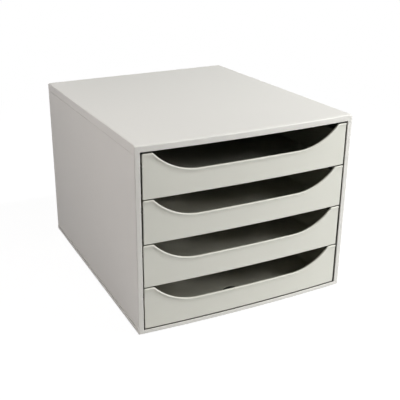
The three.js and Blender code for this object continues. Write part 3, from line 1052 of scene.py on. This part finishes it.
@dataclass(frozen=True)
class CaseBase:
    """The base: a plate with low skirts and a shallow round recess for each foot."""

    skirt_top: float = 6.7
    skirt_wall: float = 2.2
    recess_radius: float = 7.3
    recess_depth: float = 1.0
    recess_round: float = 0.3
    recess_land: float = 0.4
    recess_fillet: float = 0.1
    recess_middle: float = 0.5
    support: float = 0.3
    patch_half: float = 11.0
    patch_steps: int = 8
    level_slack: float = 0.1
    end_round: float = 0.3
    seam: float = 0.1

    def _lines(self, middle: float) -> np.ndarray:
        """Grid lines across two patches that lie as far to either side of the middle."""
        patch = np.linspace(-self.patch_half, self.patch_half, self.patch_steps + 1)
        return np.concatenate([patch - middle, patch + middle])

    def _add_tray(self, shell: Shell, feet: FootPlaces) -> None:
        """Adds the plate and skirts, leaving a square hole round each foot.

        Args:
            shell: the shell that takes them.
            feet: where the feet are.
        """
        half, low, top = LAYOUT.half_width, LAYOUT.case_bottom, self.skirt_top
        inner, plate = half - self.skirt_wall, low + LAYOUT.base_plate
        corners = [
            (-half, low), (half, low), (half, top), (inner, top),
            (inner, plate), (-inner, plate), (-inner, top), (-half, top),
        ]
        edges = [INNER_EDGE, INNER_EDGE]
        radii = [LAYOUT.corner_radius] * 2 + edges + [INNER_CORNER] * 2 + edges
        lines = self._lines(LAYOUT.half_depth - feet.inset)
        depth, inset = softened_run(*LAYOUT.body_run(self.seam), self.end_round, lines)
        outline, edge = rounded_outline(corners, radii, inset)
        across = self._lines(half - feet.inset)
        corner = outline.shape[1] // len(radii)
        level = np.broadcast_to(outline[:, corner - 1, None, 1], (len(depth), len(across)))
        under = np.stack([np.broadcast_to(across, level.shape), level], axis=-1)
        outline = np.concatenate([outline[:, :corner], under, outline[:, corner:]], axis=1)
        edge = np.concatenate([edge[:corner], np.zeros(len(across)), edge[corner:]])
        points = standing(outline, depth[:, None])
        closed = np.concatenate([points, points[:, :1]], axis=1)
        middle = (closed[:-1, :-1] + closed[1:, 1:]) / 2
        keep = np.ones(middle.shape[:2], bool)
        for _, x, y in feet.each():
            inside = np.abs(middle - [x, y, low]).max(axis=-1) < self.patch_half
            keep &= ~(inside & (middle[..., 2] < low + self.level_slack))
        shell.tube(points, edge, keep)

    def _add_recess(self, shell: Shell, x: float, y: float) -> None:
        """Adds the underside round one foot, from a square border into the round recess.

        The border's points run round the square, and every ring inside it is a circle at the
        angles of those points, down to the middle of the recess.

        Args:
            shell: the shell that takes it.
            x: the foot's place across.
            y: the foot's place in depth.
        """
        side = np.linspace(-self.patch_half, self.patch_half, self.patch_steps + 1)[:-1]
        edge = np.full_like(side, self.patch_half)
        border = np.concatenate([
            np.stack([side, -edge], 1), np.stack([edge, side], 1),
            np.stack([-side, edge], 1), np.stack([-edge, -side], 1),
        ])
        angle = np.arctan2(border[:, 1], border[:, 0])
        fast, slow = quarter_turn(self.recess_round, END_STEPS)
        low, high = LAYOUT.case_bottom, LAYOUT.case_bottom + self.recess_depth
        hole = self.recess_radius
        outer = hole + self.recess_round
        wall = [hole, hole, hole - self.recess_land, 0.0]
        levels = [low + self.recess_middle, high - self.recess_fillet, high, high]
        r = np.concatenate([[outer + self.support], outer - fast, wall])
        z = np.concatenate([[low], low + slow, levels])
        square = np.insert(border + [x, y], 2, low, axis=1)
        rings = np.concatenate([square[None], turned((x, y), r, z, angle)])
        shell.grid(rings, wrap_columns=True)

    def build(self) -> bpy.types.Object:
        """Builds the base.

        Returns:
            The piece.
        """
        shell, feet = Shell(), FootPlaces()
        self._add_tray(shell, feet)
        for _, x, y in feet.each():
            self._add_recess(shell, x, y)
        return shell.to_object("base_pan")


@dataclass(frozen=True)
class BackPanel:
    """The back: a plate with a thicker rim inside and a generously rounded rear edge."""

    plate: float = 2.2
    rim_width: float = 7.0
    rim_edge: float = 0.3
    rear_round: float = 2.5
    rear_wear: float = 0.8
    rear_land: float = 0.5
    front_edge: float = 0.25
    front_break: tuple[float, float] = (0.2, 0.06)
    front_land: float = 0.5
    straight_steps: int = 6
    support: float = 0.4

    def build(self) -> bpy.types.Object:
        """Builds the back as rings from the middle of its inner face to that of its rear face.

        Returns:
            The piece.
        """
        half, front, rear = LAYOUT.body_half, LAYOUT.back_front, LAYOUT.half_depth
        corners = rectangle(-half, LAYOUT.case_bottom, half, LAYOUT.height)
        rim, edge, hollow = self.rim_width, self.rim_edge, rear - self.plate
        fast, slow = quarter_turn(self.rear_round, 6)
        aside, drop = self.front_break
        inner = [
            (rim + 2 * self.support, hollow), (rim + self.support, hollow), (rim, hollow - edge),
            (rim, front + edge), (rim - edge, front), (self.front_land, front),
            (aside, front + drop), (0.0, front + self.front_edge),
        ]
        outer = np.stack([slow, rear - self.rear_round + fast], axis=-1)
        rings = np.array([*inner, *outer, (self.rear_round + self.rear_land, rear)])
        worn = np.zeros((len(rings), 1))
        worn[len(inner) : len(inner) + len(slow)] = self.rear_wear
        insets, steps = rings[:, 0], self.straight_steps
        outline, wear = rounded_outline(corners, LAYOUT.corner_radius, insets, between=steps)
        shell = Shell()
        shell.tube(standing(outline, rings[:, 1:]), np.maximum(wear / 2, worn))
        tongues = SnapTongues()
        tongues.add(shell, front - tongues.length, front + self.plate / 2)
        return shell.to_object("back_panel")


@dataclass(frozen=True)
class RunnerRail:
    """A channel with a ledge under the drawer's flange, a guard over it and a stop in front."""

    side: Side
    number: int
    outer: float = 140.3
    web: float = 2.0
    ledge_reach: float = 7.9
    guard_reach: float = 6.4
    bottom: float = 36.15
    ledge_top: float = 38.15
    guard_bottom: float = 42.25
    top: float = 44.25
    front: float = -160.8
    rear: float = 164.2
    rounding: float = 0.35
    stop_inset: float = 0.5
    stop_length: float = 4.0
    stop_low: float = 40.75
    stop_bury: float = 1.0
    stop_round: float = 0.3

    def build(self) -> bpy.types.Object:
        """Builds the rail.

        Returns:
            The piece.
        """
        base = LAYOUT.drawer_bottom(self.number)
        guard, ledge = self.outer - self.guard_reach, self.outer - self.ledge_reach
        web = self.outer - self.web
        corners = [
            (self.outer, self.bottom), (self.outer, self.top), (guard, self.top),
            (guard, self.guard_bottom), (web, self.guard_bottom), (web, self.ledge_top),
            (ledge, self.ledge_top), (ledge, self.bottom),
        ]
        channel = on_side([(x, z + base) for x, z in corners], self.side)
        shell = Shell()
        shell.run(channel, self.rounding, self.front, self.rear, self.rounding)
        stop = rectangle(
            guard + self.stop_inset, base + self.stop_low,
            web + self.stop_bury, base + self.top - self.stop_bury,
        )
        start = self.front + self.stop_inset
        end = start + self.stop_length
        shell.run(on_side(stop, self.side), self.stop_round, start, end, self.stop_round)
        return shell.to_object(f"{self.side.name.lower()}_channel_{self.number}")


@dataclass(frozen=True)
class Scoop:
    """The finger scoop in a drawer front's top edge, measured from the front's lower edge.

    Each side is an arc of a large circle that leaves the level bottom, then a small round corner
    inside the front that meets the level edge.
    """

    depth: float = 24.7
    radius: float = 76.0
    centre_x: float = 65.93
    corner_radius: float = 3.0
    level_steps: int = 14
    arc_steps: int = 18
    corner_steps: int = 8
    side_steps: tuple[float, ...] = (6.5, 2.0, 1.2, 0.8, 0.62, 0.4, 0.2, 0.06, 0.0)

    @property
    def rise(self) -> float:
        """Height of the large circle's centre over the level edge."""
        return self.radius - self.depth

    @property
    def corner_x(self) -> float:
        """Place across of the small corner's centre."""
        reach = self.radius + self.corner_radius
        return self.centre_x + math.sqrt(reach**2 - (self.rise + self.corner_radius) ** 2)

    @property
    def end_angle(self) -> float:
        """Slope at which the large arc meets the small corner."""
        return math.asin((self.corner_x - self.centre_x) / (self.radius + self.corner_radius))

    def height(self, across: np.ndarray) -> np.ndarray:
        """Level of the top edge at a place across, with the small corners left square.

        Args:
            across: places across.

        Returns:
            The level of the circle there, or of the level edge where that is lower.
        """
        away = np.clip(np.abs(across) - self.centre_x, 0, self.radius)
        circle = LAYOUT.front_height + self.rise - np.sqrt(self.radius**2 - away**2)
        return np.minimum(circle, LAYOUT.front_height)

    def edge_line(self) -> Arrays:
        """The top edge from left to right, and its slope angles.

        The right half is worked out from the middle outwards, and the left half mirrors it.

        Returns:
            Points shaped (count, 2) and the angle of the edge at each.
        """
        top, end = LAYOUT.front_height, self.end_angle
        level = np.linspace(0, self.centre_x, self.level_steps + 1)[:-1]
        arc = np.linspace(0, end, self.arc_steps + 1)
        turn = np.linspace(end, 0, self.corner_steps + 1)[1:]
        side = LAYOUT.front_half - np.array(self.side_steps)
        across = np.concatenate([
            level, self.centre_x + self.radius * np.sin(arc),
            self.corner_x - self.corner_radius * np.sin(turn), side,
        ])
        up = np.concatenate([
            np.full_like(level, top - self.depth), top + self.rise - self.radius * np.cos(arc),
            top - self.corner_radius * (1 - np.cos(turn)), np.full_like(side, top),
        ])
        angle = np.concatenate([np.zeros_like(level), arc, turn, np.zeros_like(side)])
        line = np.stack([np.append(-across[:0:-1], across), np.append(up[:0:-1], up)], axis=-1)
        return line, np.append(-angle[:0:-1], angle)


SCOOP = Scoop()


@dataclass(frozen=True)
class DrawerFront:
    """The bowed drawer front with its scooped, raised lip."""

    wall: float = 2.4
    lip_proud: float = 0.85
    lip_width: float = 2.1
    lip_round: float = 0.2
    lip_wear: float = 0.2
    cove: float = 0.12
    top_round: float = 0.8
    top_wear: float = 0.1
    edge_round: float = 0.55
    rear_top_round: float = 1.3
    rear_edge_round: float = 1.7
    border_wear: float = 0.5
    support: float = 0.4
    body_steps: int = 8

    def _rows(self) -> tuple[np.ndarray, np.ndarray, np.ndarray]:
        """Rows from the top edge down to below the lip's cove.

        The lip rolls over by a quarter circle at its lower edge, and a quarter circle of the cove's
        radius then brings the surface back to the face.

        Returns:
            Distance from the top edge, setback from the bowed line, and edge wear of each row.
        """
        width, proud = self.lip_width, self.lip_proud
        _, slow = quarter_turn(self.top_round, 6)
        roll, drop = quarter_turn(self.lip_round, 4)
        into, out = quarter_turn(self.cove, 5)
        distance = np.concatenate([
            slow, [self.top_round + self.support / 2], width - self.lip_round + roll,
            width + out, [width + self.cove + self.support],
        ])
        top = len(slow) + 1
        setback = np.concatenate([np.zeros(top), drop, proud - self.cove + into, [proud]])
        shares = [self.top_wear, self.lip_wear, 0.0]
        return distance, setback, np.repeat(shares, [top, len(roll), len(into) + 1])

    def _sheet(self, rear: bool) -> Arrays:
        """The front or rear sheet of the plate as a grid, rows downwards, columns to the right.

        Rows follow the top edge at a distance along its normal as far as the lip reaches, then go
        straight down. Near an outer edge the distances to the two nearest edges, over the edge's
        radius, are mapped from a square to a disc, and the sheet falls back like a ball there.

        Args:
            rear: whether it is the rear sheet.

        Returns:
            Points shaped (rows, columns, 3) and their edge values.
        """
        line, angle = SCOOP.edge_line()
        inward = np.stack([np.sin(angle), -np.cos(angle)], axis=-1)
        distance, setback, worn = self._rows()
        ball = self.rear_edge_round if rear else self.edge_round
        top_ball = self.rear_top_round if rear else self.top_round
        fast, _ = quarter_turn(self.edge_round, 5)
        foot = np.append(self.edge_round + self.support, self.edge_round - fast)
        body = np.linspace(0, 1, self.body_steps + 1)[1:-1]
        upper_rows, rows = len(distance), len(distance) + len(body) + len(foot)

        beside = LAYOUT.front_half - np.abs(line[:, 0])
        a = np.broadcast_to(np.clip(1 - beside / ball, 0, 1), (rows, len(line)))
        down = [1 - distance / top_ball, np.zeros(len(body)), 1 - foot / ball]
        b = np.broadcast_to(np.clip(np.concatenate(down), 0, 1)[:, None], a.shape)
        round_a, round_b = a * np.sqrt(1 - b**2 / 2), b * np.sqrt(1 - a**2 / 2)

        near = distance[:, None] + top_ball * (b - round_b)[:upper_rows]
        upper = line + np.minimum(near, self.lip_width)[..., None] * inward
        upper[..., 1] -= np.maximum(near - self.lip_width, 0) / np.cos(angle)
        low = foot[:, None] + ball * (b - round_b)[-len(foot) :]
        middle = upper[-1, :, 1] * (1 - body[:, None]) + low[0] * body[:, None]
        up = np.concatenate([upper[..., 1], middle, low])
        below = np.broadcast_to(upper[-1, :, 0], (rows - upper_rows, len(line)))
        across = np.concatenate([upper[..., 0], below])
        across = across - np.sign(line[:, 0]) * ball * (a - round_a)

        weight = round_a**2 + round_b**2
        top = np.where(np.arange(rows) < upper_rows, top_ball, ball)[:, None]
        mixed = (ball * round_a**2 + top * round_b**2) / np.maximum(weight, LEAST_WEIGHT)
        radius = np.where(weight > 0, mixed, ball)
        fall = radius * (1 - np.sqrt(np.maximum(1 - weight, 0)))
        face = np.append(setback, np.full(rows - upper_rows, self.lip_proud))[:, None]
        away = self.lip_proud + self.wall - fall if rear else face + fall
        points = np.stack([across, LAYOUT.bowed(across) + away, up], axis=-1)
        wear = np.concatenate([worn, np.zeros(len(body) + 1), np.ones(len(foot) - 1)])
        return points, np.maximum(wear[:, None], a > 0)

    def add(self, shell: Shell, shift: np.ndarray) -> None:
        """Adds the plate: front sheet, rear sheet and the strip between their borders.

        Args:
            shell: the shell that takes it.
            shift: where the drawer is.
        """
        borders = []
        for rear in (False, True):
            points, wear = self._sheet(rear)
            sheet = points + shift
            shell.grid(sheet, wear)
            sides = [sheet[0, :-1], sheet[:-1, -1], sheet[-1, :0:-1], sheet[:0:-1, 0]]
            borders.append(np.concatenate(sides))
        shell.grid(np.stack(borders), self.border_wear, wrap_columns=True)


@dataclass(frozen=True)
class DrawerTray:
    """The tray behind the front: walls with a round rim, a floor and its finger hole."""

    half_width: float = 131.5
    wall: float = 1.8
    floor: float = 2.0
    lift: float = 1.0
    rim: float = 40.45
    rim_wear: float = 0.7
    front_setback: float = 1.5
    front_corner: float = 1.5
    bow_fade: float = 40.0
    under_scoop: float = 3.0
    rear: float = 164.3
    rear_radius: float = 5.0
    outer_fillet: float = 1.6
    inner_fillet: float = 2.4
    hole_radius: float = 12.4
    hole_setback: float = 34.4
    hole_round: float = 0.3
    hole_land: float = 0.4
    hole_flare: float = 1.6
    hole_wear: float = 0.1
    support: float = 0.5
    plan_support: float = 1.0
    plan_steps: int = 30
    rim_steps: int = 8
    scoop_share: float = 0.8

    def _section(self) -> Arrays:
        """The wall's section from the underside, over the rim and down to the floor.

        Returns:
            Inset from the outer plan and level of each point.
        """
        low, top, radius = self.lift, self.lift + self.floor, self.wall / 2
        outer, inner, more = self.outer_fillet, self.inner_fillet, self.support
        shoulder = self.rim - radius
        fast, slow = quarter_turn(outer, 5)
        near, far = quarter_turn(inner, 6)
        sweep = np.linspace(0, math.pi, self.rim_steps + 1)
        inset = np.concatenate([
            [outer + more], outer - fast, [0, 0], radius - radius * np.cos(sweep),
            [self.wall] * 2, self.wall + far, [self.wall + inner + more],
        ])
        level = np.concatenate([
            [low], low + slow, [low + outer + more, shoulder - more],
            shoulder + radius * np.sin(sweep), [shoulder - more, top + inner + more],
            top + inner - near, [top],
        ])
        return inset, level

    def _walls(self) -> Arrays:
        """Rings of the walls, from the underside over the rim to the floor.

        They follow the plan, whose front is moved back onto the bow. Where the plan runs behind
        the front, the rim stays under the scoop.

        Returns:
            Points shaped (rings, count, 3) and their edge values, shaped (rings, 1).
        """
        inset, level = self._section()
        front = -LAYOUT.half_depth + self.front_setback
        corners = rectangle(-self.half_width, front, self.half_width, self.rear)
        radii = [self.front_corner] * 2 + [self.rear_radius] * 2
        plan, _ = rounded_outline(corners, radii, inset, self.plan_support, self.plan_steps)
        across, deep = plan[..., 0], plan[..., 1]
        fade = np.clip((front + self.bow_fade - deep) / self.bow_fade, 0, 1)
        deep = deep + (LAYOUT.bowed(across) + LAYOUT.half_depth) * fade
        limit = np.minimum(SCOOP.height(across) - self.under_scoop, self.rim)
        drop = np.where(fade > self.scoop_share, self.rim - limit, 0.0)
        up = level[:, None] - drop * (level > self.rim / 2)[:, None]
        wear = (level > self.rim - self.wall) * self.rim_wear
        return np.stack([across, deep, up], axis=-1), wear[:, None]

    def _hole(self, around: np.ndarray) -> np.ndarray:
        """Circles of the finger hole, from its upper to its lower edge.

        They are at the angles of the given ring about the hole's middle, and widen below a
        narrow land.

        Args:
            around: the innermost ring of the floor.

        Returns:
            Points shaped (circles, count, 3).
        """
        middle = (0.0, -LAYOUT.half_depth + self.hole_setback)
        ring = around[:, :2] - middle
        fast, slow = quarter_turn(self.hole_round, END_STEPS)
        low, top = self.lift, self.lift + self.floor
        wide = self.hole_radius + self.hole_round
        r = np.append(wide + self.support, wide - fast)
        z = np.append(0, slow)
        land = top - self.hole_round - self.hole_land
        radius = np.concatenate([r, [self.hole_radius], r[::-1] + self.hole_flare])
        level = np.concatenate([top - z, [land], (low + z)[::-1]])
        return turned(middle, radius, level, np.arctan2(ring[:, 1], ring[:, 0]))

    def add(self, shell: Shell, shift: np.ndarray) -> None:
        """Adds the tray: walls, floor and finger hole as one run of rings.

        Args:
            shell: the shell that takes it.
            shift: where the drawer is.
        """
        walls, rim_wear = self._walls()
        points = np.concatenate([walls, self._hole(walls[-1])])
        wear = np.full((len(points), 1), self.hole_wear)
        wear[: len(walls)] = rim_wear
        shell.grid(points + shift, wear, wrap_rows=True, wrap_columns=True)


@dataclass(frozen=True)
class Drawer:
    """One drawer: front, tray, runner flanges and pull-out stops, all one moulding."""

    number: int
    flange_inner: float = 130.9
    flange_outer: float = 134.9
    flange_thickness: float = 2.0
    flange_drop: float = 0.03
    flange_round: float = 0.5
    flange_front: float = -153.0
    flange_rear: float = 159.3
    nib_front: float = 94.0
    nib_length: float = 4.0
    nib_height: float = 1.5
    nib_root: float = 1.0
    nib_round: float = 0.4
    nib_inner: float = 132.0
    nib_outer: float = 134.4

    def build(self) -> bpy.types.Object:
        """Builds the drawer.

        Returns:
            The piece.
        """
        base = LAYOUT.drawer_bottom(self.number)
        across = LAYOUT.drawer_shift(self.number)
        shift = np.array([across, 0.0, base])
        shell, tray = Shell(), DrawerTray()
        DrawerFront().add(shell, shift)
        tray.add(shell, shift)
        top = base + tray.rim - self.flange_drop
        low, high = top - self.flange_thickness, top + self.nib_height
        bar = rectangle(self.flange_inner, low, self.flange_outer, top)
        nib = rectangle(self.nib_inner, top - self.nib_root, self.nib_outer, high)
        runs = [
            (bar, self.flange_round, self.flange_front, self.flange_rear),
            (nib, self.nib_round, self.nib_front, self.nib_front + self.nib_length),
        ]
        for side in Side:
            for box, radius, start, end in runs:
                placed = [(x + across, z) for x, z in on_side(box, side)]
                shell.run(placed, radius, start, end, radius)
        return shell.to_object(f"drawer_moulding_{self.number}")


def direction(azimuth: float, elevation: float) -> Vector:
    """The unit vector from the object towards a direction.

    Across is the sine of the azimuth times the cosine of the elevation, depth is minus the
    product of both cosines, and up is the sine of the elevation.

    Args:
        azimuth: degrees to the right of straight in front of the drawers.
        elevation: degrees over the level.

    Returns:
        The vector.
    """
    turn, lift = math.radians(azimuth), math.radians(elevation)
    level = math.cos(lift)
    return Vector((math.sin(turn) * level, -math.cos(turn) * level, math.sin(lift)))


@dataclass(frozen=True)
class StudioLamp:
    """A soft square lamp aimed at the object, placed by its direction and distance.

    Its level is the share of a white surface's full brightness that it gives one that faces it:
    the power is that share times the square of pi times the distance.
    """

    name: str
    azimuth: float
    elevation: float
    distance: float
    size: float
    level: float
    colour: Colour = (1.0, 1.0, 1.0)
    aim: Place = (0.0, 0.0, 0.12)

    def make(self) -> None:
        """Adds the lamp, its beam along the line from its place to its aim."""
        lamp = bpy.data.lights.new(self.name, "AREA")
        lamp.shape = "SQUARE"
        lamp.size = self.size
        lamp.energy = self.level * (math.pi * self.distance) ** 2
        lamp.color = self.colour
        holder = add_object(self.name, lamp)
        away = direction(self.azimuth, self.elevation)
        holder.location = Vector(self.aim) + away * self.distance
        holder.rotation_euler = (-away).to_track_quat("-Z", "Y").to_euler()


@dataclass(frozen=True)
class Studio:
    """White floor, white surroundings, soft lamps and the camera."""

    floor_half: float = 12.0
    floor_level: float = -0.0002
    floor_albedo: float = 0.75
    shadow_albedo: float = 0.93
    shadow_share: float = 0.15
    shadow_lift: float = 0.94
    shadow_reach: tuple[float, float] = (0.4, 1.0)
    azimuth: float = -24.031
    elevation: float = 21.406
    roll: float = -0.7
    distance: float = 0.97737
    pan: float = -0.03108
    rise: float = -0.01524
    target: Place = (0.0, 0.0086, 0.1185)
    focal_pixels: float = 696.194
    centre_pixels: tuple[float, float] = (161.322, 187.447)
    frame_pixels: float = 400.0
    sensor: float = 36.0
    lamps: tuple[StudioLamp, ...] = (
        StudioLamp("key", 64.0, 46.0, 1.6, 0.12, 0.63),
        StudioLamp("low_right", 56.0, 12.0, 1.6, 0.3, 0.32),
        StudioLamp("front_right", 42.0, 31.0, 1.6, 0.4, 0.26),
        StudioLamp("overhead", 0.0, 80.0, 1.6, 1.0, 0.13),
        StudioLamp("rear", 184.0, 3.0, 1.6, 0.6, 0.26),
        StudioLamp(
            "left_side", -80.0, 30.0, 0.8, 0.4, 0.3, (1.0, 0.925, 0.925), (0.0, -0.05, 0.12)
        ),
    )

    @staticmethod
    def _shown_white(graph: Graph) -> Value:
        """1 for rays that show the background: from the camera, or seen in gloss or glass.

        Args:
            graph: the graph of the floor or the world.

        Returns:
            The share, 0 or 1.
        """
        seen, gloss, through = (
            graph.node("ShaderNodeLightPath", output=kind)
            for kind in ("Is Camera Ray", "Is Glossy Ray", "Is Transmission Ray")
        )
        return (seen + gloss + through).least(1.0)

    def _make_world(self) -> None:
        """Surroundings that only the camera and the object's gloss see, as plain white."""
        world = bpy.data.worlds.new("surroundings")
        world.use_nodes = True
        bpy.context.scene.world = world
        graph = Graph(world.node_tree)
        sky = {"Color": WHITE, "Strength": self._shown_white(graph)}
        surface = graph.node("ShaderNodeBackground", {}, sky)
        graph.node("ShaderNodeOutputWorld", {}, {"Surface": surface})

    def _make_floor(self) -> None:
        """A white floor that keeps a faint share of the object's shadow."""
        corners = np.array([[-1, -1], [1, -1], [1, 1], [-1, 1]]) * self.floor_half
        points = np.column_stack([corners, np.full(4, self.floor_level)])
        mesh = bpy.data.meshes.new("floor")
        mesh.from_pydata(points.tolist(), [], [[0, 1, 2, 3]])
        material, graph = new_material("floor_white")
        place = graph.node("ShaderNodeTexCoord", output="Object")
        away = graph.node("ShaderNodeVectorMath", {"operation": "LENGTH"}, {0: place}, "Value")
        near, far = self.shadow_reach
        reach = {"Value": away, "From Min": near, "From Max": far, "To Min": 1.0, "To Max": 0.0}
        close = graph.node("ShaderNodeMapRange", {"interpolation_type": "SMOOTHSTEP"}, reach)
        albedo = shade(WHITE[:3], self.floor_albedo)
        lit = graph.node("ShaderNodeBsdfDiffuse", {}, {"Color": albedo})
        pale = shade((self.shadow_albedo,) * 3, self.shadow_share)
        grey = graph.blend(close, BLACK, pale)
        faint = graph.node("ShaderNodeBsdfDiffuse", {}, {"Color": grey})
        level = 1 - close * (1 - self.shadow_lift)
        glow = graph.node("ShaderNodeEmission", {}, {"Color": WHITE, "Strength": level})
        shown = graph.node("ShaderNodeAddShader", {}, {0: faint, 1: glow})
        shaders = {0: self._shown_white(graph), 1: lit, 2: shown}
        surface = graph.node("ShaderNodeMixShader", {}, shaders)
        graph.node("ShaderNodeOutputMaterial", {}, {"Surface": surface})
        mesh.materials.append(material)
        add_object("floor", mesh)

    def _make_camera(self) -> None:
        """The camera at the photograph's viewing angle.

        Its axes come from azimuth, elevation and roll, and it stands at the target plus its
        distance backwards and its pan and rise sideways.
        """
        back = direction(self.azimuth, self.elevation)
        right = Vector((-back.y, back.x, 0)).normalized()
        up = back.cross(right)
        roll = math.radians(self.roll)
        turned_right = math.cos(roll) * right + math.sin(roll) * up
        turned_up = math.cos(roll) * up - math.sin(roll) * right
        aside = turned_right * self.pan + turned_up * self.rise
        centre = Vector(self.target) + back * self.distance + aside
        data = bpy.data.cameras.new("camera")
        data.sensor_width = self.sensor
        data.lens = self.focal_pixels / self.frame_pixels * self.sensor
        data.shift_x = 0.5 - self.centre_pixels[0] / self.frame_pixels
        data.shift_y = self.centre_pixels[1] / self.frame_pixels - 0.5
        camera = add_object("camera", data)
        axes = Matrix((turned_right, turned_up, back)).transposed().to_4x4()
        camera.matrix_world = Matrix.Translation(centre) @ axes
        bpy.context.scene.camera = camera

    def build(self) -> None:
        """Sets up camera, surroundings, floor and lamps."""
        bpy.context.scene.view_settings.view_transform = "Standard"
        self._make_camera()
        self._make_world()
        self._make_floor()
        for lamp in self.lamps:
            lamp.make()


@dataclass
class FilingCase:
    """The fixed case: bezel, lid, base, back, side walls, rails and feet."""

    finishes: Finishes

    def build(self) -> None:
        """Builds and dresses every fixed piece."""
        parts = [
            (FrontBezel(), Slot.CASE, "front_bezel"), (CaseLid(), Slot.CASE, "case_top"),
            (CaseBase(), Slot.CASE, "case_base"), (BackPanel(), Slot.CASE, "case_back"),
        ]
        for side in Side:
            word = side.name.lower()
            parts.append((SidePanel(side), Slot.CASE, f"{word}_side_panel"))
            for number in LAYOUT.numbers:
                parts.append((RunnerRail(side, number), Slot.RAIL, f"{word}_rail_{number}"))
        for place, x, y in FootPlaces().each():
            foot = RubberFoot(f"rubber_foot_{place}", x, y)
            parts.append((foot, Slot.FOOT, f"foot_{place}"))
        for part, slot, node in parts:
            self.finishes.dress(part.build(), slot, "case", node)


@dataclass
class DrawerStack:
    """The four drawers."""

    finishes: Finishes

    def build(self) -> None:
        """Builds and dresses every drawer."""
        for number in LAYOUT.numbers:
            name = f"drawer_{number}"
            self.finishes.dress(Drawer(number).build(), Slot.DRAWER, name, name)


def main() -> None:
    """Builds the studio and every piece of the module."""
    logging.basicConfig(level=logging.INFO, format="%(name)s: %(message)s")
    Studio().build()
    finishes = Finishes()
    FilingCase(finishes).build()
    DrawerStack(finishes).build()


if __name__ == "__main__":
    main()
